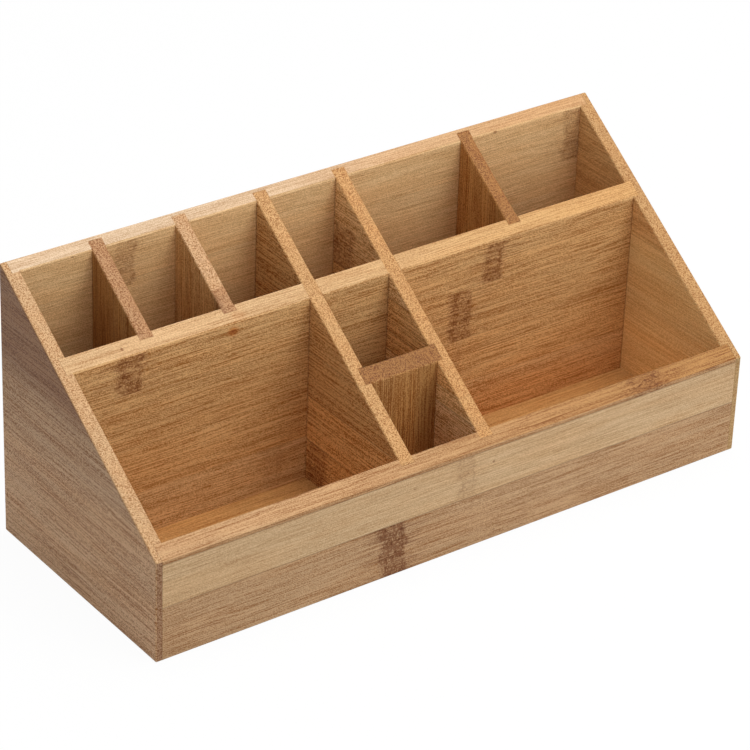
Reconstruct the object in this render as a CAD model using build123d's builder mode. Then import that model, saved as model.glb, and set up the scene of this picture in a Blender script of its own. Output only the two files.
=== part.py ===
from build123d import *
import os
from math import atan2, cos, sin, tan

# Sloped desk organizer of bamboo boards: an open box whose ends, panels and dividers
# all finish on one sloping rim plane, with six cells behind and four in front.
# Millimetres. X runs left to right, Y front to back, Z up; the origin is the middle
# of the footprint on the table.

os.makedirs("parts", exist_ok=True)

# ---- Driving dimensions -------------------------------------------------------------

# Cells, measured inside
narrow_cell_width = 34.8     # each of the four pen cells at the left of the rear row
wide_cell_width = 61.85      # each of the two cells at the right of the rear row
rear_cell_depth = 34.6       # rear row, front to back
front_cell_depth = 66.2      # front row, front to back
centre_rear_depth = 30.2     # the rear one of the two small cells between the long dividers

# Boards
end_thickness = 6.8          # the two sloping ends
front_thickness = 6.7        # front panel
back_thickness = 5.6         # back panel
divider_thickness = 6.7
base_thickness = 5.0
base_lift = 4.0              # gap between the table and the base's underside

# Rim plane, as heights above the table before the edges are rounded
front_height = 48.0          # at the outer front face
rear_height = 131.0          # at the outer back face

# Joints: how deep each board is let into its neighbour
rabbet_depth = 3.8           # front and back panels into the ends
end_housing = 3.1            # middle divider into the ends
back_housing = 3.4           # dividers into the back panel
front_housing = 3.0          # long dividers into the front panel
middle_housing = 2.5         # short dividers into the middle divider
centre_housing = 2.8         # centre divider into the long dividers
base_groove = 2.8            # base into the ends and panels
side_fit = 0.05              # glue line on each face of a board in its joint
end_room = 0.1               # glue room past the end of a board in its joint

# Edges
edge_radius = 0.8            # all outer edges of the box
mouth_ease = 0.4             # sanded bevel round each cell's mouth

# ---- Places worked out from them ----------------------------------------------------

cell_widths = [narrow_cell_width] * 4 + [wide_cell_width] * 2
width = 2 * end_thickness + sum(cell_widths) + (len(cell_widths) - 1) * divider_thickness
depth = front_thickness + front_cell_depth + divider_thickness + rear_cell_depth + back_thickness

left_inside = end_thickness - width / 2
back_outside = depth / 2
front_outside = -depth / 2
back_inside = back_outside - back_thickness
front_inside = front_outside + front_thickness
middle_rear = back_inside - rear_cell_depth
middle_front = middle_rear - divider_thickness
centre_rear = middle_front - centre_rear_depth
centre_front = centre_rear - divider_thickness
floor_z = base_lift + base_thickness

# Middle of each divider of the rear row, from the left
divider_x = []
for index in range(1, len(cell_widths)):
    passed = sum(cell_widths[:index]) + (index - 0.5) * divider_thickness
    divider_x.append(left_inside + passed)
long_left_x, long_right_x = divider_x[2], divider_x[3]
short_x = [divider_x[0], divider_x[1], divider_x[4]]

slope = atan2(rear_height - front_height, depth)
rim = Plane(origin=(0, front_outside, front_height), x_dir=(1, 0, 0), z_dir=(0, -sin(slope), cos(slope)))


def rim_z(y):
    """Height of the rim plane at a distance y from the middle of the box."""
    return front_height + (y - front_outside) * tan(slope)


def board_outline(y_front, y_rear, z_bottom):
    """Corners, in the YZ plane, of an upright board whose top edge lies on the rim plane."""
    return [
        (y_front, z_bottom),
        (y_rear, z_bottom),
        (y_rear, rim_z(y_rear)),
        (y_front, rim_z(y_front)),
    ]


slot_width = divider_thickness + 2 * side_fit
lap_z = (floor_z + rim_z((middle_front + middle_rear) / 2)) / 2   # where crossing dividers meet

# ---- Mouths of the cells ------------------------------------------------------------

half = divider_thickness / 2
right_inside = -left_inside
rear_row_x = [left_inside - half] + divider_x + [right_inside + half]
mouth_limits = [(a + half, b - half, middle_rear, back_inside) for a, b in zip(rear_row_x, rear_row_x[1:])]
mouth_limits += [
    (left_inside, long_left_x - half, front_inside, middle_front),
    (long_left_x + half, long_right_x - half, centre_rear, middle_front),
    (long_left_x + half, long_right_x - half, front_inside, centre_front),
    (long_right_x + half, right_inside, front_inside, middle_front),
]

# One flared block per cell: it meets the walls mouth_ease under the rim plane and
# widens evenly up through it, so taking it away bevels the four edges of the mouth.
with BuildPart() as mouths:
    for x_left, x_right, y_front, y_rear in mouth_limits:
        for level in (-mouth_ease, mouth_ease):
            flare = 2 * (mouth_ease + level)
            along = ((y_front + y_rear) / 2 - front_outside) / cos(slope) + level * tan(slope)
            with BuildSketch(rim.offset(level)):
                with Locations(((x_left + x_right) / 2, along)):
                    Rectangle(x_right - x_left + flare, (y_rear - y_front) / cos(slope) + flare)
        loft()

# ---- Ends ---------------------------------------------------------------------------

with BuildPart() as left_end:
    with BuildSketch(Plane.YZ.offset(-width / 2)):
        Polygon(*board_outline(front_outside, back_outside, 0), align=None)
    extrude(amount=end_thickness)
    outer_face = left_end.faces().sort_by(Axis.X)[0]
    fillet(outer_face.edges() + left_end.edges().filter_by(Axis.X), edge_radius)
    # Rabbets for the ends of the front and back panels
    with BuildSketch(Plane.XY):
        with Locations((left_inside, front_outside)):
            Rectangle(2 * rabbet_depth, 2 * (front_thickness + side_fit))
        with Locations((left_inside, back_outside)):
            Rectangle(2 * rabbet_depth, 2 * (back_thickness + side_fit))
    extrude(amount=rear_height, mode=Mode.SUBTRACT)
    # Housing for the middle divider
    with BuildSketch(Plane.XY.offset(floor_z)):
        with Locations((left_inside, (middle_front + middle_rear) / 2)):
            Rectangle(2 * (end_housing + end_room), slot_width)
    extrude(amount=rear_height, mode=Mode.SUBTRACT)
    # Groove for the base
    with BuildSketch(Plane.XY.offset(base_lift - side_fit)):
        with Locations((left_inside, (front_inside + back_inside) / 2)):
            Rectangle(2 * (base_groove + end_room), back_inside - front_inside + 2 * (base_groove + end_room))
    extrude(amount=base_thickness + 2 * side_fit, mode=Mode.SUBTRACT)
    add(mouths.part, mode=Mode.SUBTRACT)

with BuildPart() as right_end:
    mirror(left_end.part, about=Plane.YZ)

# ---- Front and back panels ----------------------------------------------------------

panel_length = width - 2 * (end_thickness - rabbet_depth) - 2 * end_room

with BuildPart() as back_panel:
    with BuildSketch(Plane.YZ.offset(-panel_length / 2)):
        Polygon(*board_outline(back_inside, back_outside, 0), align=None)
    extrude(amount=panel_length)
    fillet(back_panel.edges().filter_by(Axis.X).group_by(Axis.Y)[-1], edge_radius)
    # Housings for the dividers of the rear row
    with BuildSketch(Plane.XY.offset(floor_z)):
        with Locations(*[(x, back_inside) for x in divider_x]):
            Rectangle(slot_width, 2 * (back_housing + end_room))
    extrude(amount=rear_height, mode=Mode.SUBTRACT)
    # Groove for the base, from end to end
    with BuildSketch(Plane.XY.offset(base_lift - side_fit)):
        with Locations((0, back_inside)):
            Rectangle(panel_length, 2 * (base_groove + end_room))
    extrude(amount=base_thickness + 2 * side_fit, mode=Mode.SUBTRACT)
    add(mouths.part, mode=Mode.SUBTRACT)

with BuildPart() as front_panel:
    with BuildSketch(Plane.YZ.offset(-panel_length / 2)):
        Polygon(*board_outline(front_outside, front_inside, 0), align=None)
    extrude(amount=panel_length)
    fillet(front_panel.edges().filter_by(Axis.X).group_by(Axis.Y)[0], edge_radius)
    # Housings for the long dividers
    with BuildSketch(Plane.XY.offset(floor_z)):
        with Locations((long_left_x, front_inside), (long_right_x, front_inside)):
            Rectangle(slot_width, 2 * (front_housing + end_room))
    extrude(amount=rear_height, mode=Mode.SUBTRACT)
    # Groove for the base, from end to end
    with BuildSketch(Plane.XY.offset(base_lift - side_fit)):
        with Locations((0, front_inside)):
            Rectangle(panel_length, 2 * (base_groove + end_room))
    extrude(amount=base_thickness + 2 * side_fit, mode=Mode.SUBTRACT)
    add(mouths.part, mode=Mode.SUBTRACT)

# ---- Base ---------------------------------------------------------------------------

with BuildPart() as base_panel:
    with BuildSketch(Plane.XY.offset(base_lift)):
        with Locations((0, (front_inside + back_inside) / 2)):
            Rectangle(2 * (right_inside + base_groove), back_inside - front_inside + 2 * base_groove)
    extrude(amount=base_thickness)

# ---- Dividers -----------------------------------------------------------------------

# The middle divider parts the rear row from the front one. Each long divider crosses it
# in a half lap: the middle divider is notched from above, the long one from below.
middle_length = 2 * (right_inside + end_housing)

with BuildPart() as middle_divider:
    with BuildSketch(Plane.YZ.offset(-middle_length / 2)):
        Polygon(*board_outline(middle_front, middle_rear, floor_z), align=None)
    extrude(amount=middle_length)
    with BuildSketch(Plane.XY.offset(lap_z)):
        with Locations((long_left_x, middle_rear - half), (long_right_x, middle_rear - half)):
            Rectangle(slot_width, 2 * divider_thickness)
    extrude(amount=rear_height, mode=Mode.SUBTRACT)
    # Housings for the short dividers
    with BuildSketch(Plane.XY.offset(floor_z)):
        with Locations(*[(x, middle_rear) for x in short_x]):
            Rectangle(slot_width, 2 * (middle_housing + end_room))
    extrude(amount=rear_height, mode=Mode.SUBTRACT)
    add(mouths.part, mode=Mode.SUBTRACT)

long_dividers = []
for name, x, inward in (("long_divider_left", long_left_x, 1), ("long_divider_right", long_right_x, -1)):
    with BuildPart() as long_divider:
        with BuildSketch(Plane.YZ.offset(x - half)):
            Polygon(
                *board_outline(front_inside - front_housing, back_inside + back_housing, floor_z),
                align=None,
            )
        extrude(amount=divider_thickness)
        # Half lap under the middle divider's upper part
        with BuildSketch(Plane.XY.offset(floor_z)):
            with Locations((x, middle_rear - half)):
                Rectangle(2 * divider_thickness, slot_width)
        extrude(amount=lap_z - floor_z, mode=Mode.SUBTRACT)
        # Housing for the centre divider, on the side that faces the small cells
        with BuildSketch(Plane.XY.offset(floor_z)):
            with Locations((x + inward * half, centre_rear - half)):
                Rectangle(2 * (centre_housing + end_room), slot_width)
        extrude(amount=rear_height, mode=Mode.SUBTRACT)
        add(mouths.part, mode=Mode.SUBTRACT)
    long_divider.part.label = name
    long_dividers.append(long_divider)

short_dividers = []
for number, x in enumerate(short_x, start=1):
    with BuildPart() as short_divider:
        with BuildSketch(Plane.YZ.offset(x - half)):
            Polygon(
                *board_outline(middle_rear - middle_housing, back_inside + back_housing, floor_z),
                align=None,
            )
        extrude(amount=divider_thickness)
        add(mouths.part, mode=Mode.SUBTRACT)
    short_divider.part.label = f"short_divider_{number}"
    short_dividers.append(short_divider)

centre_length = long_right_x - long_left_x - divider_thickness + 2 * centre_housing

with BuildPart() as centre_divider:
    with BuildSketch(Plane.YZ.offset((long_left_x + long_right_x - centre_length) / 2)):
        Polygon(*board_outline(centre_front, centre_rear, floor_z), align=None)
    extrude(amount=centre_length)
    add(mouths.part, mode=Mode.SUBTRACT)

# ---- Labels and files ---------------------------------------------------------------

left_end.part.label = "left_end"
right_end.part.label = "right_end"
front_panel.part.label = "front_panel"
back_panel.part.label = "back_panel"
base_panel.part.label = "base_panel"
middle_divider.part.label = "middle_divider"
centre_divider.part.label = "centre_divider"

export_step(left_end.part, "parts/left_end.step")
export_step(right_end.part, "parts/right_end.step")
export_step(front_panel.part, "parts/front_panel.step")
export_step(back_panel.part, "parts/back_panel.step")
export_step(base_panel.part, "parts/base_panel.step")
export_step(middle_divider.part, "parts/middle_divider.step")
export_step(centre_divider.part, "parts/centre_divider.step")
for divider in long_dividers + short_dividers:
    export_step(divider.part, f"parts/{divider.part.label}.step")
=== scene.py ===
"""Bamboo desk organizer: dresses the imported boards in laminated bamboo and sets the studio.

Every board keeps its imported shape. Its bamboo is worked out in the board's own coordinates:
along the fibres, across the face and through the thickness, all in millimetres, so streaks
on a face, dots on a cut end and the strips on a rim all belong to the same piece of wood.
"""

from math import cos, radians, sin

import bmesh
import bpy
from bpy.props import FloatProperty, FloatVectorProperty, PointerProperty
from mathutils import Matrix, Vector


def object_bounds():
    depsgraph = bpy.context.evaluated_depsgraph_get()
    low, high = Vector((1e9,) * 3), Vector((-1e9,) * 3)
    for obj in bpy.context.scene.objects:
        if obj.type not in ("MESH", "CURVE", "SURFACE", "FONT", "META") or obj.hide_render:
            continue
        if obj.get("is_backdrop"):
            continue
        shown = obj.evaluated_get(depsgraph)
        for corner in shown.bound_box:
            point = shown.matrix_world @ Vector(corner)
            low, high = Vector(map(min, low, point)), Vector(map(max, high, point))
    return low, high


bl_info = {
    "name": "Bamboo desk organizer",
    "version": (1, 0, 0),
    "blender": (4, 5, 0),
    "location": "3D View > Sidebar > Organizer",
    "description": "Dresses a bamboo desk organizer board by board and sets a studio round it",
    "category": "Material",
}

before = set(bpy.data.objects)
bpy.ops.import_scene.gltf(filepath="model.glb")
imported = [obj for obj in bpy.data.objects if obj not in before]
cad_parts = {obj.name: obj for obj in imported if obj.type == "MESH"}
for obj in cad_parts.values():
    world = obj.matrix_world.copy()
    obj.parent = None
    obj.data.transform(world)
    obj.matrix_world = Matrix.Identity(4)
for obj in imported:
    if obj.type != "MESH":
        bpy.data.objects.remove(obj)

MILLIMETRE = 0.001

# ---- Boards -------------------------------------------------------------------------
# Places, sizes and widths are in millimetres.
# axes: the axis along the fibres, the one across the face, the one through the thickness.
# strips: the strips that a board is glued up from, as (where it ends across the face, tint,
#   lightness, strength of the grain, strength of the wide streaks); the last one runs to the
#   board's edge. On some boards the lightness also holds painted light or shade, as noted there.
# blend: half the width over which one strip's colour turns into the next one's.
# glue: how dark the glue lines between the strips are, GLUE_STRENGTH where it is left out.
# fade: lightness at the board's left end and from its middle on, for a board that is darker
#   at one end.
# coarse: how much thicker the finest fibres are on the faces, 1 where it is left out.
# rim: tint, lightness, strength of the grain and strength of the wide streaks on the sanded
#   top edge.
# rim_right: tint and lightness that the rim turns to towards its right end.
# rim_front: (where it ends across the face, tint, lightness), for a rim that starts with
#   another strip at the front.
# seams_and_shadows: (axis, place along it), for the dark lines where another board is let in: a
# dark glue joint with a painted shadow of its gap.
# inside: the way that the seams' side faces along the third axis, for boards with seams on one
#   side only.
# knuckles: (place along the fibres, from, to across the face, half width, strength, sway).
# marks: (centre along, across and through the board, half sizes, strength), for pin holes and
#   dark patches.
# stains: the same, for reddish stains.

BOARDS = {
    "left_end": {
        "axes": "YZX",
        # Painted shade: the strips grow darker towards the top of the outer face and the lowest
        # one is lighter, standing in for bounce light from the floor that fades upwards; the grey
        # tint is the board's own
        "strips": [
            (30, "driftwood", 1.07, 1.05, 0.75), (58, "driftwood", 1.02, 1.05, 0.75),
            (84, "driftwood", 0.86, 1.05, 0.75), (None, "smoke_and_shade", 1.0, 1.05, 0.75),
        ],
        "blend": 9,
        "coarse": 1.5,
        "rim": ("biscuit", 1.13, 0.95, 0.25),
        "knuckles": [(-38, 18, 40, 4.0, 0.12, 1)],
    },
    "right_end": {
        "axes": "YZX",
        # Painted light: the wheat strips' lightness above 1 makes the inner face lighter for
        # light that the lamps don't bring there
        "strips": [
            (43, "wheat", 1.20, 0.38, 0.15), (80, "wheat", 1.10, 0.38, 0.15),
            (None, "caramel", 1.16, 0.5, 0.15),
        ],
        "blend": 6,
        "coarse": 1.5,
        "rim": ("honey", 0.97, 1.0, 0.25),
        "seams_and_shadows": [("Y", 13.0), ("Y", 54.3)],
        "inside": -1,
        "knuckles": [(22, 43, 66, 5.0, 0.3, 1)],
    },
    "front_panel": {
        "axes": "XZY",
        "strips": [
            (25.6, "rust", 1.0, 0.78, 1.4), (46.2, "pale", 1.0, 0.45, 0.5),
            (None, "toffee", 1.04, 0.8, 1.0),
        ],
        "blend": 0.1,
        "glue": 0.45,
        "fade": (0.96, 1.01),
        "rim": ("toffee", 1.03, 0.75, 4.0),
        "rim_right": ("treacle", 1.0),
        "knuckles": [
            (-36.5, 0, 25.6, 6.0, 1.65, 1), (2, 25.6, 46.2, 4.5, 0.42, 1),
            (101, 46.2, 60, 8.0, 0.42, 5),
        ],
        "marks": [
            ((2.5, 38, -60), (0.7, 0.7, 6), 0.6), ((2, 30, -60), (0.7, 1.2, 6), 0.45),
            ((16, 39.5, -60), (1.0, 0.8, 6), 0.7), ((-26, 39.6, -60), (0.8, 0.6, 6), 0.5),
            ((18, 4.5, -60), (0.9, 0.8, 6), 0.5), ((138, 47.5, -60), (6, 0.5, 6), 0.7),
        ],
        "stains": [((103, 50, -56.5), (18, 5, 5), 0.08)],
    },
    "back_panel": {
        "axes": "XZY",
        # Painted shade: the strips lighten from the bottom up, darker towards the bottom of the
        # narrow rear cells
        "strips": [
            (42, "straw", 0.90, 0.5, 0.4), (64, "straw", 0.95, 0.5, 0.4),
            (86, "straw", 0.97, 0.5, 0.4), (108, "straw", 1.0, 0.5, 0.4),
            (None, "straw", 1.04, 0.5, 0.4),
        ],
        "blend": 2,
        "rim": ("petal", 1.0, 0.45, 0.25),
        "rim_right": ("toffee", 1.22),
        "seams_and_shadows": [
            ("X", -148.2), ("X", -113.4), ("X", -71.9), ("X", -30.4), ("X", 11.1), ("X", 79.65),
        ],
        "inside": -1,
        "knuckles": [
            (-97, 105, 126.5, 5.0, 0.6, 1), (144, 101, 126.5, 5.0, 0.7, 1),
            (20, 42, 64, 5.0, 0.4, 1), (-30, 42, 64, 5.0, 0.7, 1), (64, 20, 42, 5.5, 0.7, 1),
        ],
        "marks": [((99, 126.5, 54), (1.5, 1.0, 2), 0.8), ((-123, 126.5, 54), (0.9, 0.6, 2), 0.7)],
    },
    "base_panel": {
        "axes": "XYZ",
        "strips": [
            (-42, "amber", 0.98, 1.25, 1.5), (-20, "amber", 1.04, 1.25, 1.5),
            (3, "amber", 0.96, 1.25, 1.5), (25, "amber", 1.0, 1.25, 1.5),
            (46, "amber", 0.95, 1.25, 1.5), (None, "amber", 1.0, 1.25, 1.5),
        ],
        "blend": 0.1,
        "rim": ("amber", 1.0, 0.7, 0.8),
        "knuckles": [
            (96, -42, -20, 5.5, 0.35, 1), (-100, -20, 3, 5.0, 0.3, 1), (-30, 3, 25, 5.0, 0.4, 1),
        ],
        "stains": [((-132, -44, 9), (26, 14, 4), 0.4), ((-60, -50, 9), (30, 6, 4), 0.25)],
    },
    "middle_divider": {
        "axes": "XZY",
        # Painted light: the lighter straw strip at the bottom stands in for light bounced at the
        # foot of the cells
        "strips": [
            (30, "straw", 0.93, 1.2, 1.0), (53, "caramel", 1.13, 1.2, 1.0),
            (78, "caramel", 1.1, 1.2, 1.0), (None, "caramel", 1.13, 1.2, 1.0),
        ],
        "blend": 1.5,
        "rim": ("cream", 1.04, 0.55, 1.4),
        "rim_right": ("apricot", 1.04),
        "seams_and_shadows": [("X", -30.4), ("X", 11.1), ("X", 148.2)],
        "knuckles": [
            (-121.5, 80, 98, 6.0, 1.2, 1), (69, 78, 97, 5.0, 1.1, 1), (51, 53, 78, 5.5, 1.1, 1),
            (-47, 9, 30, 5.0, 0.25, 1), (47, 30, 53, 5.0, 0.25, 1),
        ],
        "marks": [
            ((-69.5, 94.6, 13), (1.6, 1.2, 1.5), 0.25), ((-123, 101, 16), (0.9, 2.0, 0.9), 0.9),
        ],
        "stains": [
            ((-69.8, 94.4, 13), (3.6, 2.8, 2), 0.82), ((-66, 99.5, 16), (5, 3, 4), 0.25),
            ((95, 12, 13), (80, 24, 9), 0.5),
        ],
    },
    "long_divider_left": {
        "axes": "YZX",
        # Painted light: the two lower strips are made lighter, standing in for light bounced at
        # the foot of the cells
        "strips": [
            (29, "caramel", 1.19, 1.45, 0.6), (51, "caramel", 1.21, 1.45, 0.6),
            (73, "caramel", 1.02, 1.45, 0.6), (None, "caramel", 1.02, 1.45, 0.6),
        ],
        "blend": 0.5,
        "glue": 0.4,
        "coarse": 1.5,
        "rim": ("honey", 1.05, 1.0, 0.25),
        "seams_and_shadows": [("Y", 13.0), ("Y", 54.3)],
        "knuckles": [(5, 9, 29, 6.0, 0.75, 1), (28, 73, 95, 5.0, 0.3, 1)],
    },
    "long_divider_right": {
        "axes": "YZX",
        # Painted light: the lower pale strips are lighter than the tint, standing in for light
        # that reaches this shaded face in the cells
        "strips": [
            (27, "pale", 1.3, 1.2, 0.5), (54, "pale", 1.2, 1.2, 0.5),
            (62, "straw", 1.12, 1.2, 0.7), (71, "caramel", 1.36, 1.2, 0.7),
            (87, "caramel", 1.27, 1.2, 0.7), (None, "straw", 1.04, 1.2, 0.7),
        ],
        "blend": 0.5,
        "glue": 0.4,
        "coarse": 1.5,
        "rim": ("marmalade", 1.05, 1.0, 0.25),
        "seams_and_shadows": [("Y", 13.0), ("Y", 54.3), ("Y", -23.9)],
        "knuckles": [(47, 86, 107, 7.0, 0.95, 1), (-30, 27, 49, 5.0, 0.3, 1)],
    },
    "short_divider_1": {
        "axes": "ZYX",
        "strips": [(38, "amber", 0.94, 1.2, 2.0), (None, "treacle", 1.08, 1.2, 2.0)],
        "blend": 3,
        "rim": ("rosewood", 1.0, 1.5, 0.3),
        "knuckles": [(60, 10, 38, 5.0, 0.5, 1)],
    },
    "short_divider_2": {
        "axes": "ZYX",
        "strips": [
            (24, "caramel", 0.90, 1.2, 2.0), (45, "caramel", 1.10, 1.2, 2.0),
            (None, "caramel", 1.12, 1.2, 2.0),
        ],
        "blend": 3,
        "rim": ("blush", 1.01, 1.1, 0.3),
        "rim_front": (27.0, "rosewood", 1.0),
        "knuckles": [(40, 24, 45, 5.0, 0.5, 1)],
        "marks": [((104.5, 21.5, -71.9), (14, 6, 2.6), 0.40)],
    },
    "short_divider_3": {
        "axes": "ZYX",
        "strips": [(33, "treacle", 1.2, 1.2, 2.0), (None, "treacle", 1.32, 1.2, 2.0)],
        "blend": 3,
        "rim": ("cinnamon", 1.0, 1.8, 0.4),
        "knuckles": [(75, 10, 33, 5.0, 0.5, 1)],
    },
    "centre_divider": {
        "axes": "ZXY",
        "strips": [
            (-12, "amber", 0.88, 1.6, 2.0), (1, "treacle", 1.17, 1.6, 2.0),
            (None, "treacle", 1.0, 1.6, 2.0),
        ],
        "blend": 2,
        "rim": ("cinnamon", 0.90, 2.2, 0.4),
        "knuckles": [(25, -30, -5, 5.0, 0.4, 1)],
    },
}

# Half the width and the strength of the dark lines on a face: at the seams, a dark glue joint
# with a painted shadow of its gap; between the strips, the glue
SEAM_AND_SHADOW_HALF_WIDTH, SEAM_AND_SHADOW_STRENGTH = 0.35, 0.42
GLUE_HALF_WIDTH, GLUE_STRENGTH = 0.25, 0.12
# How much of a glue line is left on the sanded rim
GLUE_ON_RIM = 0.15
# Half the width over which the fibres, and a rim with another strip at its front, change over
FIBRE_EDGE, RIM_EDGE = 0.06, 0.3
# Along the fibres: where a faded board lightens, and where a rim turns to its right end's tint
FADE_SPAN = (-150, 50)
RIM_SPAN = (-100, 120)
# The strips' numbers: the step from one board to the next one, and from strip to strip. They
# shift the noise that far along the fibres and through the board, so no two strips are alike
BOARD_STEP, STRIP_STEP = 7.3, 1.7
STRIP_SHIFT = (137.0, 23.0)
# How far the grain slants through the board for each millimetre across the face
SLANT = 0.6

# The grain that is plain noise: its size along the fibres, across the face and through the
# board, its detail and roughness, and the values between which it comes in
FIBRES = {
    "Grit": ((0.48, 0.44, 0.44), 0, 0.5, 0.32, 0.68),
    "Pore": ((32, 0.35, 0.35), 0, 0.5, 0.34, 0.66),
    "Dash": ((8, 0.42, 0.42), 0, 0.5, 0.50, 0.72),
    "Bundle": ((30, 0.75, 0.75), 1, 0.5, 0.40, 0.62),
    "Streak": ((60, 1.3, 1.1), 1, 0.6, 0.36, 0.66),
    "Hue": ((60, 9, 9), 1, 0.5, 0.32, 0.68),
}
# The grain that is thicker on a board with coarse faces
COARSENED = ("Grit", "Pore")
# How much each kind of grain darkens the wood, and the value at which it makes no difference
WEIGHTS = {
    "Pore": (0.74, 0.5), "Grit": (0.86, 0.5), "Dash": (0.28, 0.2), "Bundle": (0.50, 0.5),
    "Streak": (0.12, 0.5), "Line": (0.40, 0), "Broad": (0.26, 0),
}
# The share of the dark grain's colour in plain wood
PLAIN_SHARE = 0.35
# Roughness of plain wood, and what streaks, knuckles and cut ends add to it
ROUGHNESS = {"plain": 0.50, "streak": 0.08, "knuckle": 0.12, "cut end": 0.12}
GROOVE_STRENGTH = 0.6
# Cosines between which a surface counts as facing a way, as cutting the bundles of fibres, and
# as a cut end
FACING, BUNDLES_CUT, CUT_END = (0.35, 0.65), (0.60, 0.80), (0.86, 0.99)
# Where a mark or a stain starts to fade and where it is gone, in its half sizes
SPOT_FALL = (0.3, 1.1)


# ---- Settings -----------------------------------------------------------------------

def tint(name, description, colour):
    """A colour property in linear RGB."""
    return FloatVectorProperty(
        name=name, description=description, default=colour, subtype="COLOR", size=3, min=0, max=2
    )


class BambooSettings(bpy.types.PropertyGroup):
    """Colours and grain of the bamboo."""

    pale: tint("Pale", "Strips from the inner wall of the cane", (0.668, 0.424, 0.218))
    rust: tint("Rust", "Reddish strips from the outer wall", (0.545, 0.314, 0.154))
    driftwood: tint("Driftwood", "Greyish strips", (0.552, 0.316, 0.163))
    # The top strip of the left end: a dark greyish tone that is partly painted shade
    smoke_and_shade: tint("Smoke", "Dark greyish strips", (0.286, 0.133, 0.056))
    caramel: tint("Caramel", "Everyday strips, warmed by steaming", (0.580, 0.320, 0.125))
    straw: tint("Straw", "Light strips", (0.740, 0.450, 0.205))
    # Wheat is raised above 1 on the right end's inner face, where that extra lightness is painted
    # light
    wheat: tint("Wheat", "Light strips with a greenish cast", (0.712, 0.462, 0.200))
    amber: tint("Amber", "Orange strips", (0.535, 0.260, 0.083))
    treacle: tint("Treacle", "Dark orange strips and edges", (0.410, 0.187, 0.054))
    toffee: tint("Toffee", "Light brown strips and edges", (0.500, 0.270, 0.118))
    cream: tint("Cream", "Light edges, sanded along the fibres", (0.620, 0.370, 0.175))
    petal: tint("Petal", "The lightest edges, a little pinkish", (0.694, 0.466, 0.283))
    apricot: tint("Apricot", "Golden edges, sanded along the fibres", (0.590, 0.312, 0.112))
    biscuit: tint("Biscuit", "Beige edges that cut the fibres at a slope", (0.510, 0.292, 0.136))
    honey: tint("Honey", "Golden edges that cut the fibres at a slope", (0.535, 0.280, 0.105))
    marmalade: tint("Marmalade", "Deep golden edges, cut at a slope", (0.530, 0.262, 0.090))
    cinnamon: tint("Cinnamon", "Brown edges across the fibres", (0.340, 0.138, 0.033))
    rosewood: tint("Rosewood", "Pinkish brown edges across the fibres", (0.430, 0.210, 0.087))
    blush: tint("Blush", "Light pinkish edges across the fibres", (0.565, 0.314, 0.148))
    light_grain: tint("Light grain", "Multiplies a tint between streaks", (1.232, 1.355, 1.478))
    dark_grain: tint("Dark grain", "Multiplies a tint in the streaks", (0.54, 0.37, 0.17))
    warm: tint("Warm patches", "Multiplies a tint in its warmer patches", (1.01, 0.99, 0.965))
    cool: tint("Cool patches", "Multiplies a tint in its cooler patches", (0.99, 1.01, 1.03))
    knuckle: tint("Knuckle", "Multiplies a tint in a knuckle", (0.42, 0.28, 0.20))
    stain: tint("Stain", "Multiplies a tint in a reddish stain", (0.85, 0.50, 0.20))
    end_grain: tint("End grain", "Multiplies a tint on a cut end", (0.60, 0.55, 0.54))
    glue: tint("Glue", "The glue between two strips", (0.16, 0.08, 0.025))
    groove_depth: FloatProperty(
        name="Groove depth", description="Depth of the open grain under the lacquer",
        default=0.05 * MILLIMETRE, min=0, unit="LENGTH",
    )
    gloss: FloatProperty(
        name="Lacquer", description="Weight of the satin lacquer", default=0.04, min=0, max=1
    )


class StudioSettings(bpy.types.PropertyGroup):
    """Camera, lamps and floor."""

    lens: FloatProperty(
        name="Lens", description="Focal length for a 36 mm wide frame", default=165.386, min=10
    )
    azimuth: FloatProperty(
        name="Azimuth", description="How far the camera looks to the right of straight ahead",
        default=radians(36.9641), subtype="ANGLE",
    )
    elevation: FloatProperty(
        name="Elevation", description="How far the camera looks down",
        default=radians(30.0666), subtype="ANGLE",
    )
    roll: FloatProperty(
        name="Roll", description="Turn of the camera about its line of sight",
        default=radians(2.1983), subtype="ANGLE",
    )
    camera_place: FloatVectorProperty(
        name="Camera", description="Where the camera stands",
        default=(-0.7803, -1.03137, 0.80635), size=3, subtype="TRANSLATION",
    )
    key_power: FloatProperty(
        name="Key lamp", description="Power of the soft lamp overhead",
        default=26, min=0, unit="POWER",
    )
    fill_power: FloatProperty(
        name="Front lamp", description="Power of the soft lamp at the front right",
        default=8, min=0, unit="POWER",
    )
    sky: FloatProperty(
        name="Sky", description="Strength of the even light from all round", default=0.35, min=0
    )
    floor_size: FloatProperty(
        name="Floor size", description="Side of the square floor", default=8, min=1, unit="LENGTH"
    )


# ---- Node trees ---------------------------------------------------------------------

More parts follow.
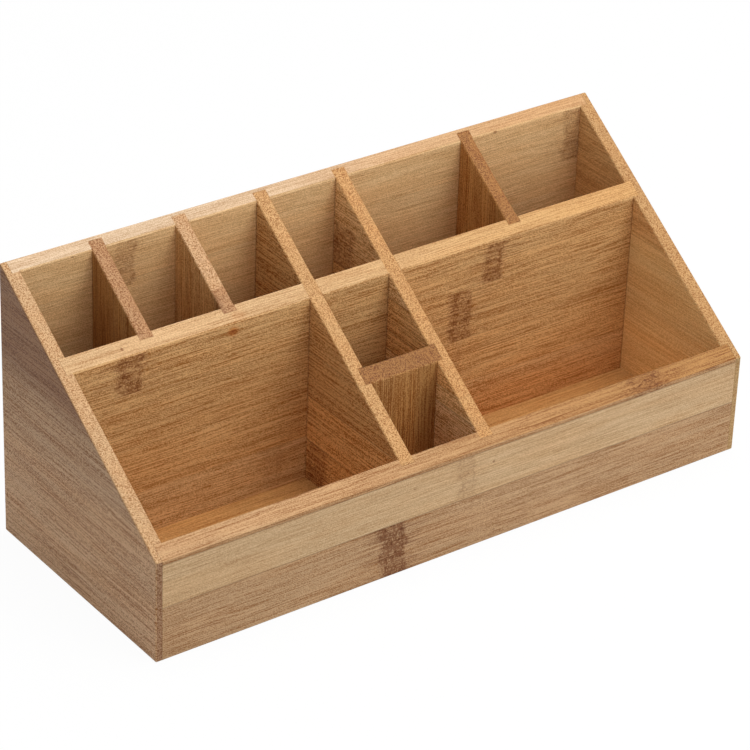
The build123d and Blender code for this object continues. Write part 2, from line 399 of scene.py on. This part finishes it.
class Tree:
    """Builds a node tree. A value may be a number, a colour or another node's socket."""

    def __init__(self, tree):
        self.tree = tree
        tree.nodes.clear()

    def add(self, kind, inputs=None, **settings):
        """A new node with those settings and inputs."""
        node = self.tree.nodes.new(kind)
        for name, value in settings.items():
            setattr(node, name, value)
        for socket, value in (inputs or {}).items():
            self.feed(node.inputs[socket], value)
        return node

    def feed(self, socket, value):
        """Sets a socket to a value, or links it to the socket that gives the value."""
        if isinstance(value, bpy.types.NodeSocket):
            self.tree.links.new(value, socket)
        else:
            socket.default_value = value

    def fed(self, group, inputs):
        """The outputs of a node that runs that group on those inputs."""
        return self.add("ShaderNodeGroup", inputs, node_tree=group).outputs

    def math(self, operation, *values, clamp=False):
        inputs = dict(enumerate(values))
        node = self.add("ShaderNodeMath", inputs, operation=operation, use_clamp=clamp)
        return node.outputs[0]

    def total(self, *values):
        """The sum of those values."""
        result = values[0]
        for value in values[1:]:
            result = self.math("ADD", result, value)
        return result

    def product(self, *values):
        """The product of those values."""
        result = values[0]
        for value in values[1:]:
            result = self.math("MULTIPLY", result, value)
        return result

    def vector(self, operation, *values, result=0):
        node = self.add("ShaderNodeVectorMath", operation=operation)
        for socket, value in zip(node.inputs, values):
            self.feed(socket, value)
        return node.outputs[result]

    def scaled(self, vector, factor):
        node = self.add("ShaderNodeVectorMath", {0: vector, "Scale": factor}, operation="SCALE")
        return node.outputs[0]

    def combine(self, x, y, z):
        return self.add("ShaderNodeCombineXYZ", {0: x, 1: y, 2: z}).outputs[0]

    def separate(self, vector):
        return self.add("ShaderNodeSeparateXYZ", {0: vector}).outputs

    def mix(self, factor, first, second, blend="MIX"):
        """One colour mixed with another one."""
        inputs = {0: factor, 6: first, 7: second}
        node = self.add("ShaderNodeMix", inputs, data_type="RGBA", blend_type=blend)
        return node.outputs[2]

    def multiplied(self, factor, colour, by):
        """A colour, multiplied by another one as far as the factor says."""
        return self.mix(factor, colour, self.mix(1.0, colour, by, "MULTIPLY"))

    def mix_value(self, factor, first, second):
        """One number mixed with another one."""
        inputs = {0: factor, 2: first, 3: second}
        return self.add("ShaderNodeMix", inputs, data_type="FLOAT").outputs[0]

    def step(self, value, low, high, start=0.0, end=1.0):
        """A smooth step from start to end as value goes from low to high."""
        names = ("Value", "From Min", "From Max", "To Min", "To Max")
        inputs = dict(zip(names, (value, low, high, start, end)))
        return self.add("ShaderNodeMapRange", inputs, interpolation_type="SMOOTHSTEP").outputs[0]

    def past(self, value, edge, half_width):
        """0 before that edge and 1 past it."""
        return self.step(value, edge - half_width, edge + half_width)

    def faces(self, cosine):
        """1 where the surface faces the way that the cosine is measured from, 0 where not."""
        return self.step(cosine, *FACING)

    def bell(self, value, centre, half_width):
        """1 at the centre, falling smoothly to 0 two half widths away."""
        away = self.math("ABSOLUTE", self.math("SUBTRACT", value, centre))
        return self.step(self.math("DIVIDE", away, half_width), 0, 2, 1, 0)

    def spot(self, place, centre, half_sizes, strength):
        """That strength round the centre, falling smoothly to 0 just past the half sizes."""
        away = self.vector("DIVIDE", self.vector("SUBTRACT", place, centre), half_sizes)
        return self.step(self.vector("LENGTH", away, result=1), *SPOT_FALL, strength, 0)

    def noise(self, place, size, detail=1, roughness=0.5):
        """Noise from 0 to 1 whose features have that size along each board axis."""
        stretched = self.vector("DIVIDE", place, size)
        inputs = {"Vector": stretched, "Scale": 1.0, "Detail": detail, "Roughness": roughness}
        return self.add("ShaderNodeTexNoise", inputs).outputs[0]

    def centred_noise(self, place, size):
        """The same noise from -0.5 to 0.5."""
        return self.math("SUBTRACT", self.noise(place, size), 0.5)

    def contour(self, place, size, low, high):
        """1 within low of where that noise is 0, so it draws thin wavy lines; 0 past high."""
        return self.step(self.math("ABSOLUTE", self.centred_noise(place, size)), low, high, 1, 0)


def new_group(name, inputs, outputs):
    """A new node group, its tree, what it is given and what it makes, by the sockets' names."""
    group = bpy.data.node_groups.new(name, "ShaderNodeTree")
    for direction, sockets in (("INPUT", inputs), ("OUTPUT", outputs)):
        for socket, kind in sockets.items():
            group.interface.new_socket(socket, in_out=direction, socket_type="NodeSocket" + kind)
    tree = Tree(group)
    given = tree.add("NodeGroupInput").outputs
    made = tree.add("NodeGroupOutput").inputs
    return group, tree, given, made


# What the tangle of the fibres gives a knuckle: how far it strays along the fibres, its specks,
# patches and tails, how the fibres sway in it, and its dark curls
TANGLE = ("Wander", "Speck", "Patch", "Tail", "Swirl", "Curl")


def tangle_group():
    """The tangle of the fibres that all the knuckles of a board share."""
    group, t, given, made = new_group(
        "bamboo_tangle", {"Place": "Vector"}, dict.fromkeys(TANGLE, "Float")
    )
    place = given["Place"]
    ragged = t.math("MULTIPLY_ADD", t.noise(place, (5, 2.5, 2.5)), 4.0, -2.0)
    drift = t.noise(place, (400, 9, 9), 2)
    t.feed(made["Wander"], t.math("MULTIPLY_ADD", drift, 9.0, t.math("SUBTRACT", ragged, 4.5)))
    t.feed(made["Speck"], t.contour(place, (1.5, 1.9, 1.9), 0.0, 0.12))
    t.feed(made["Patch"], t.step(t.noise(place, (7, 5, 5)), 0.35, 0.65, 0.55, 1.0))
    t.feed(made["Tail"], t.step(t.noise(place, (18, 0.8, 1.5)), 0.48, 0.66))
    t.feed(made["Curl"], t.contour(place, (4.5, 2.0, 2.0), 0.01, 0.07))
    t.feed(made["Swirl"], t.centred_noise(place, (3.5, 2.5, 3)))
    return group


# What a board gives for each of its knuckles
KNUCKLE = ("Centre", "From", "To", "Half width", "Strength", "Sway")
# The two dark edges of a knuckle: place and half width, both in the knuckle's half widths, and
# strength
KNUCKLE_EDGES = ((0.85, 0.20, 0.45), (-0.80, 0.40, 0.26))
# How softly a knuckle begins and ends at the sides of its strip
STRIP_SIDE = (-0.1, 0.3)
# How far the fibres sway in a knuckle whose sway is 1, in millimetres from side to side
FULL_SWAY = 3.0


def knuckle_group():
    """A knuckle: a mottled band across one strip, with dark tails, where the fibres sway."""
    inputs = ("Along fibres", "Across", *TANGLE, *KNUCKLE)
    group, t, given, made = new_group(
        "bamboo_knuckle", dict.fromkeys(inputs, "Float"), {"Shade": "Float", "Sway": "Float"}
    )
    # The band strays a little along the fibres as it crosses the strip; x is the place along
    # the fibres in half widths from its middle
    off = t.math("SUBTRACT", given["Along fibres"], given["Centre"])
    x = t.math("DIVIDE", t.math("ADD", off, given["Wander"]), given["Half width"])
    near = t.math("ABSOLUTE", x)
    inside = t.product(
        t.step(t.math("SUBTRACT", given["Across"], given["From"]), *STRIP_SIDE),
        t.step(t.math("SUBTRACT", given["To"], given["Across"]), *STRIP_SIDE),
        given["Strength"],
    )
    # A mottled core between two darker edges, of which the first is the sharper one
    speck = given["Speck"]
    mottle = t.product(t.step(near, 0.55, 1.35, 1, 0), t.math("MULTIPLY_ADD", speck, 0.55, 0.32))
    edges = t.total(*(t.product(t.bell(x, *edge), strength) for *edge, strength in KNUCKLE_EDGES))
    edges = t.product(edges, t.math("MULTIPLY_ADD", speck, 0.8, 0.35))
    core = t.product(t.total(mottle, edges), given["Patch"])
    # Where the fibres sway more than usual, they also show as dark curls
    curled = t.math("SUBTRACT", given["Sway"], 1.0)
    curls = t.product(given["Curl"], t.step(near, 0.7, 2.0, 0.28, 0), curled)
    tails = t.product(t.step(near, 0.8, 4.5, 0.40, 0), given["Tail"])
    t.feed(made["Shade"], t.math("MULTIPLY", t.total(core, tails, curls), inside, clamp=True))
    fading = t.step(near, 0.3, 2.2, 1, 0)
    t.feed(made["Sway"], t.product(given["Swirl"], given["Sway"], FULL_SWAY, fading, inside))
    return group


# What the fibres give the wood. Grit and pores are the finest, dashes are short and streaks are
# long; lines are thin and far between, broad bands are faint, bundles show where they are cut,
# and the hue drifts
GRAIN = ("Grit", "Pore", "Dash", "Streak", "Line", "Broad", "Bundle", "Hue")


def fibre_group():
    """The fibres at a place in the wood, from their strip's number and their coarseness."""
    group, t, given, made = new_group(
        "bamboo_fibre", {"Place": "Vector", "Strip": "Float", "Coarse": "Float"},
        dict.fromkeys(GRAIN, "Float"),
    )
    # Every strip reads the noise at a place of its own, and its fibres wave a little
    along, through = (t.product(given["Strip"], shift) for shift in STRIP_SHIFT)
    place = t.vector("ADD", given["Place"], t.combine(along, 0.0, through))
    wave = t.math("MULTIPLY_ADD", t.noise(place, (65, 16, 16)), 3.0, -1.5)
    # The slant keeps every face at an angle to the noise's own grid, where it would be faint
    slant = t.math("MULTIPLY", t.separate(place)[1], SLANT)
    place = t.vector("ADD", place, t.combine(0.0, wave, slant))

    coarse = t.scaled(place, t.math("DIVIDE", 1.0, given["Coarse"]))
    for part, (size, detail, roughness, low, high) in FIBRES.items():
        where = coarse if part in COARSENED else place
        t.feed(made[part], t.step(t.noise(where, size, detail, roughness), low, high))
    # Long thin lines, in some places only
    lined = t.step(t.noise(place, (50, 12, 12), 0), 0.40, 0.62)
    t.feed(made["Line"], t.product(t.contour(place, (90, 1.9, 3.0), 0.004, 0.028), lined))
    t.feed(made["Broad"], t.centred_noise(place, (120, 6, 7)))
    return group


# ---- Bamboo -------------------------------------------------------------------------

class BoardTree(Tree):
    """The node tree of one board's bamboo, with the board's own coordinates in millimetres."""

    def __init__(self, tree, board):
        super().__init__(tree)
        coordinates = self.add("ShaderNodeTexCoord").outputs
        axes = ["XYZ".index(letter) for letter in board["axes"]]
        self.board = board
        self.xyz = self.separate(self.scaled(coordinates["Object"], 1 / MILLIMETRE))
        self.along, self.across, through = (self.xyz[axis] for axis in axes)
        self.place = self.combine(self.along, self.across, through)
        normal = self.separate(coordinates["Normal"])
        self.on_rim = self.faces(normal[2])
        # How far the surface faces along the fibres, and through the board
        self.facing_along, self.facing_through = normal[axes[0]], normal[axes[2]]


def knuckles_and_marks(t):
    """How dark they make the wood, and how far the knuckles make the fibres sway."""
    groups = bpy.data.node_groups
    tangled = t.fed(groups.get("bamboo_tangle") or tangle_group(), {"Place": t.place})
    knuckle = groups.get("bamboo_knuckle") or knuckle_group()
    shared = {"Along fibres": t.along, "Across": t.across}
    shared.update({part: tangled[part] for part in TANGLE})
    shade, sway = None, None
    for values in t.board["knuckles"]:
        found = t.fed(knuckle, {**shared, **dict(zip(KNUCKLE, values))})
        shade = found["Shade"] if shade is None else t.math("MAXIMUM", shade, found["Shade"])
        sway = found["Sway"] if sway is None else t.math("ADD", sway, found["Sway"])
    for mark in t.board.get("marks", ()):
        shade = t.math("MAXIMUM", shade, t.spot(t.place, *mark))
    return shade, sway


def seams_and_shadows(t, shade):
    """That shade with the dark lines where other boards are let in, up to the rim: dark glue
    joints with painted shadow of their gaps.
    """
    on_face = t.math("SUBTRACT", 1.0, t.on_rim)
    if "inside" in t.board:
        on_face = t.product(on_face, t.faces(t.product(t.facing_through, t.board["inside"])))
    # Each seam line is a dark glue joint together with a painted shadow of the gap beside it
    for axis, where in t.board["seams_and_shadows"]:
        seam_and_shadow = t.bell(t.xyz["XYZ".index(axis)], where, SEAM_AND_SHADOW_HALF_WIDTH)
        shade = t.math("MAXIMUM", shade, t.product(seam_and_shadow, on_face, SEAM_AND_SHADOW_STRENGTH))
    return shade


def shaded(settings, tint_name, lightness):
    """A tint made lighter or darker, as a colour with its alpha."""
    return (*(channel * lightness for channel in getattr(settings, tint_name)), 1)


def glued_strips(t, name, settings):
    """The strips of a board: colour, glue lines, strip number, fine and wide grain's strength."""
    strips, blend = t.board["strips"], t.board["blend"]
    first = sorted(BOARDS).index(name) * BOARD_STEP
    wood, number, glue = shaded(settings, *strips[0][1:3]), first, 0.0
    fine, wide = strips[0][3:]
    for index, (_, tint_name, lightness, fine_here, wide_here) in enumerate(strips[1:], start=1):
        edge = strips[index - 1][0]
        over = t.past(t.across, edge, blend)
        wood = t.mix(over, wood, shaded(settings, tint_name, lightness))
        fine = t.mix_value(over, fine, fine_here)
        wide = t.mix_value(over, wide, wide_here)
        fibres_over = t.past(t.across, edge, FIBRE_EDGE)
        number = t.mix_value(fibres_over, number, first + index * STRIP_STEP)
        glue = t.math("MAXIMUM", glue, t.bell(t.across, edge, GLUE_HALF_WIDTH))
    if "fade" in t.board:
        wood = t.scaled(wood, t.step(t.along, *FADE_SPAN, *t.board["fade"]))
    return wood, glue, number, fine, wide


def rim_colour(t, settings):
    """The colour of the sanded top edge."""
    rim = shaded(settings, *t.board["rim"][:2])
    if "rim_right" in t.board:
        right = shaded(settings, *t.board["rim_right"])
        rim = t.mix(t.step(t.along, *RIM_SPAN), rim, right)
    if "rim_front" in t.board:
        edge, *front = t.board["rim_front"]
        rim = t.mix(t.past(t.across, edge, RIM_EDGE), shaded(settings, *front), rim)
    return rim


def bamboo_material(name, board, settings):
    """The bamboo of one board."""
    material = bpy.data.materials.new("bamboo_" + name)
    material.use_nodes = True
    t = BoardTree(material.node_tree, board)
    shade, sway = knuckles_and_marks(t)
    if "seams_and_shadows" in board:
        shade = seams_and_shadows(t, shade)
    stain = 0.0
    for values in board.get("stains", ()):
        stain = t.math("MAXIMUM", stain, t.spot(t.place, *values))
    wood, glue, strip, contrast, wide_contrast = glued_strips(t, name, settings)
    wood = t.mix(t.on_rim, wood, rim_colour(t, settings))
    contrast = t.mix_value(t.on_rim, contrast, board["rim"][2])
    wide_contrast = t.mix_value(t.on_rim, wide_contrast, board["rim"][3])

    swayed = t.vector("ADD", t.place, t.combine(0.0, sway, 0.0))
    coarse = t.mix_value(t.on_rim, board.get("coarse", 1.0), 1.0)
    fibre = bpy.data.node_groups.get("bamboo_fibre") or fibre_group()
    grain = t.fed(fibre, {"Place": swayed, "Strip": strip, "Coarse": coarse})
    # 0 on a surface along the fibres, 1 on one straight across them
    across_fibres = t.math("ABSOLUTE", t.facing_along)
    cut_end = t.step(across_fibres, *CUT_END)

    def weighed(part):
        weight, middle = WEIGHTS[part]
        level = t.math("SUBTRACT", grain[part], middle) if middle else grain[part]
        return t.product(level, weight)

    bundles = t.product(weighed("Bundle"), t.step(across_fibres, *BUNDLES_CUT))
    fine = t.total(weighed("Pore"), weighed("Grit"), weighed("Dash"), bundles)
    wide = t.total(weighed("Streak"), weighed("Line"), weighed("Broad"))
    marked = t.math("ADD", fine, t.product(wide, wide_contrast))
    dark = t.math("MULTIPLY_ADD", marked, contrast, PLAIN_SHARE, clamp=True)
    of_grain = t.mix(dark, (*settings.light_grain, 1), (*settings.dark_grain, 1))
    of_patch = t.mix(grain["Hue"], (*settings.cool, 1), (*settings.warm, 1))
    wood = t.mix(1.0, t.mix(1.0, wood, of_grain, "MULTIPLY"), of_patch, "MULTIPLY")

    left_on_rim = t.step(t.on_rim, 0, 1, 1, GLUE_ON_RIM)
    glue = t.product(glue, board.get("glue", GLUE_STRENGTH), left_on_rim)
    wood = t.mix(glue, wood, (*settings.glue, 1))
    wood = t.multiplied(stain, wood, (*settings.stain, 1))
    wood = t.multiplied(shade, wood, (*settings.knuckle, 1))
    wood = t.multiplied(cut_end, wood, (*settings.end_grain, 1))

    # The finest fibres are open grooves under the lacquer
    rough = t.math("MULTIPLY_ADD", grain["Streak"], ROUGHNESS["streak"], ROUGHNESS["plain"])
    by_knuckle = t.product(shade, ROUGHNESS["knuckle"])
    rough = t.total(rough, by_knuckle, t.product(cut_end, ROUGHNESS["cut end"]))
    height = t.total(grain["Pore"], grain["Grit"])
    groove = {"Strength": GROOVE_STRENGTH, "Distance": settings.groove_depth, "Height": height}
    bump = t.add("ShaderNodeBump", groove, invert=True)
    shader = t.add("ShaderNodeBsdfPrincipled", {
        "Base Color": wood, "Roughness": rough, "IOR": 1.45, "Specular IOR Level": 0.30,
        "Coat Weight": settings.gloss, "Coat Roughness": 0.32, "Normal": bump.outputs[0],
    })
    t.add("ShaderNodeOutputMaterial", {"Surface": shader.outputs[0]})
    return material


def dress(context, *names):
    """Gives each of those boards its own bamboo."""
    settings = context.scene.organizer_bamboo
    for name in names:
        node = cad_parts[name]
        material = bamboo_material(name, BOARDS[name], settings)
        for slot in node.material_slots:
            slot.material = material


# ---- Operators ----------------------------------------------------------------------

class ORGANIZER_OT_ends(bpy.types.Operator):
    """Dress the two sloping ends"""

    bl_idname = "organizer.ends"
    bl_label = "Ends"

    def execute(self, context):
        dress(context, "left_end", "right_end")
        return {"FINISHED"}


class ORGANIZER_OT_front_panel(bpy.types.Operator):
    """Dress the front panel"""

    bl_idname = "organizer.front_panel"
    bl_label = "Front panel"

    def execute(self, context):
        dress(context, "front_panel")
        return {"FINISHED"}


class ORGANIZER_OT_back_panel(bpy.types.Operator):
    """Dress the back panel"""

    bl_idname = "organizer.back_panel"
    bl_label = "Back panel"

    def execute(self, context):
        dress(context, "back_panel")
        return {"FINISHED"}


class ORGANIZER_OT_base(bpy.types.Operator):
    """Dress the base under all the cells"""

    bl_idname = "organizer.base"
    bl_label = "Base"

    def execute(self, context):
        dress(context, "base_panel")
        return {"FINISHED"}


class ORGANIZER_OT_middle_divider(bpy.types.Operator):
    """Dress the divider between the rear row and the front row"""

    bl_idname = "organizer.middle_divider"
    bl_label = "Middle divider"

    def execute(self, context):
        dress(context, "middle_divider")
        return {"FINISHED"}


class ORGANIZER_OT_long_dividers(bpy.types.Operator):
    """Dress the two dividers that run from front to back"""

    bl_idname = "organizer.long_dividers"
    bl_label = "Long dividers"

    def execute(self, context):
        dress(context, "long_divider_left", "long_divider_right")
        return {"FINISHED"}


class ORGANIZER_OT_short_dividers(bpy.types.Operator):
    """Dress the short dividers of the rear row and the one between the small cells"""

    bl_idname = "organizer.short_dividers"
    bl_label = "Short dividers"

    def execute(self, context):
        dress(context, "short_divider_1", "short_divider_2", "short_divider_3", "centre_divider")
        return {"FINISHED"}


class ORGANIZER_OT_stage(bpy.types.Operator):
    """Set the floor, the lamps, the sky and the camera"""

    bl_idname = "organizer.stage"
    bl_label = "Studio"

    def execute(self, context):
        studio = context.scene.organizer_studio
        build_floor(studio)
        build_sky(context.scene, studio)
        add_lamp("key_lamp", studio.key_power, **KEY_LAMP)
        add_lamp("front_lamp", studio.fill_power, **FRONT_LAMP)
        build_camera(context.scene, studio)
        return {"FINISHED"}


# ---- Studio -------------------------------------------------------------------------

# Where each square lamp stands and how wide it is, in metres
KEY_LAMP = {"place": (0.25, -0.15, 1.7), "size": 1.6}
FRONT_LAMP = {"place": (0.9, -1.6, 0.8), "size": 1.2}

WHITE = (1, 1, 1, 1)
# The floor as it lights the boards, and as the camera sees it with the shadow on it
FLOOR_GREY = (0.62, 0.62, 0.62, 1)
FLOOR_WHITE = (0.96, 0.96, 0.96, 1)
# How much of what the camera sees of the floor is plain white, without the shadow
FLOOR_GLOW = 0.95
# A hair below the boards' lower edges, so that the two never share a plane
FLOOR_GAP = 0.05 * MILLIMETRE

# The width of the camera's frame, in millimetres, and how far it sees, in metres
FRAME_WIDTH = 36
CAMERA_RANGE = 50


def unlit_rays(t):
    """1 for rays from the camera, a mirror or glass, which should see a plain white backdrop."""
    path = t.add("ShaderNodeLightPath").outputs
    seen = t.math("MAXIMUM", path["Is Camera Ray"], path["Is Glossy Ray"])
    return t.math("MAXIMUM", seen, path["Is Transmission Ray"])


def build_floor(studio):
    """A white floor that shows as the backdrop and still takes a faint shadow."""
    mesh = bpy.data.meshes.new("floor")
    shape = bmesh.new()
    bmesh.ops.create_grid(shape, x_segments=1, y_segments=1, size=studio.floor_size / 2)
    shape.to_mesh(mesh)
    shape.free()
    floor = bpy.data.objects.new("floor", mesh)
    bpy.context.scene.collection.objects.link(floor)
    material = bpy.data.materials.new("white_floor")
    material.use_nodes = True
    t = Tree(material.node_tree)
    matt = t.add("ShaderNodeBsdfDiffuse", {"Color": FLOOR_GREY}).outputs[0]
    white = t.add("ShaderNodeBsdfDiffuse", {"Color": FLOOR_WHITE}).outputs[0]
    glow = t.add("ShaderNodeEmission", {"Color": WHITE, "Strength": 1.0}).outputs[0]
    seen = t.add("ShaderNodeMixShader", {0: FLOOR_GLOW, 1: white, 2: glow}).outputs[0]
    surface = t.add("ShaderNodeMixShader", {0: unlit_rays(t), 1: matt, 2: seen}).outputs[0]
    t.add("ShaderNodeOutputMaterial", {"Surface": surface})
    mesh.materials.append(material)
    floor.location.z = -FLOOR_GAP
    floor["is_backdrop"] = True


def build_sky(scene, studio):
    """Even light from all round, seen as plain white."""
    world = bpy.data.worlds.new("studio")
    world.use_nodes = True
    t = Tree(world.node_tree)
    light = t.add("ShaderNodeBackground", {"Color": WHITE, "Strength": studio.sky}).outputs[0]
    white = t.add("ShaderNodeBackground", {"Color": WHITE, "Strength": 1.0}).outputs[0]
    surface = t.add("ShaderNodeMixShader", {0: unlit_rays(t), 1: light, 2: white}).outputs[0]
    t.add("ShaderNodeOutputWorld", {"Surface": surface})
    scene.world = world


def add_lamp(name, power, place, size):
    """A square soft lamp that faces the organizer."""
    lamp = bpy.data.lights.new(name, "AREA")
    lamp.energy = power
    lamp.size = size
    holder = bpy.data.objects.new(name, lamp)
    low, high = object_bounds()
    aim = (Vector(low) + Vector(high)) / 2 - Vector(place)
    turn = aim.to_track_quat("-Z", "Y").to_matrix().to_4x4()
    holder.matrix_world = Matrix.Translation(place) @ turn
    bpy.context.scene.collection.objects.link(holder)


def build_camera(scene, studio):
    """The camera, from its azimuth, elevation and roll."""
    camera = bpy.data.cameras.new("camera")
    camera.sensor_fit = "HORIZONTAL"
    camera.sensor_width = FRAME_WIDTH
    camera.lens = studio.lens
    camera.clip_end = CAMERA_RANGE
    azimuth, elevation, roll = studio.azimuth, studio.elevation, studio.roll
    reach = cos(elevation)
    forward = Vector((sin(azimuth) * reach, cos(azimuth) * reach, -sin(elevation)))
    level = forward.cross(Vector((0, 0, 1))).normalized()
    upright = level.cross(forward)
    right = level * cos(roll) + upright * sin(roll)
    up = upright * cos(roll) - level * sin(roll)
    turn = Matrix((right, up, -forward)).transposed().to_4x4()
    holder = bpy.data.objects.new("camera", camera)
    holder.matrix_world = Matrix.Translation(studio.camera_place) @ turn
    scene.collection.objects.link(holder)
    scene.camera = holder
    scene.view_settings.view_transform = "Standard"


# ---- Panel --------------------------------------------------------------------------

PIECES = (
    ORGANIZER_OT_ends, ORGANIZER_OT_front_panel, ORGANIZER_OT_back_panel, ORGANIZER_OT_base,
    ORGANIZER_OT_middle_divider, ORGANIZER_OT_long_dividers, ORGANIZER_OT_short_dividers,
)


class ORGANIZER_PT_panel(bpy.types.Panel):
    """The organizer's settings, and a button for each step"""

    bl_idname = "ORGANIZER_PT_panel"
    bl_label = "Desk organizer"
    bl_space_type = "VIEW_3D"
    bl_region_type = "UI"
    bl_category = "Organizer"

    def draw(self, context):
        layout = self.layout
        for settings in (context.scene.organizer_bamboo, context.scene.organizer_studio):
            column = layout.column()
            for name in settings.__annotations__:
                column.prop(settings, name)
        for operator in (*PIECES, ORGANIZER_OT_stage):
            layout.operator(operator.bl_idname)


CLASSES = (BambooSettings, StudioSettings, *PIECES, ORGANIZER_OT_stage, ORGANIZER_PT_panel)


def register():
    for cls in CLASSES:
        bpy.utils.register_class(cls)
    bpy.types.Scene.organizer_bamboo = PointerProperty(type=BambooSettings)
    bpy.types.Scene.organizer_studio = PointerProperty(type=StudioSettings)


def unregister():
    del bpy.types.Scene.organizer_bamboo
    del bpy.types.Scene.organizer_studio
    for cls in reversed(CLASSES):
        bpy.utils.unregister_class(cls)


def main():
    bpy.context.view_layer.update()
    register()
    for operator in (*PIECES, ORGANIZER_OT_stage):
        group, name = operator.bl_idname.split(".")
        getattr(getattr(bpy.ops, group), name)()


if __name__ == "__main__":
    main()
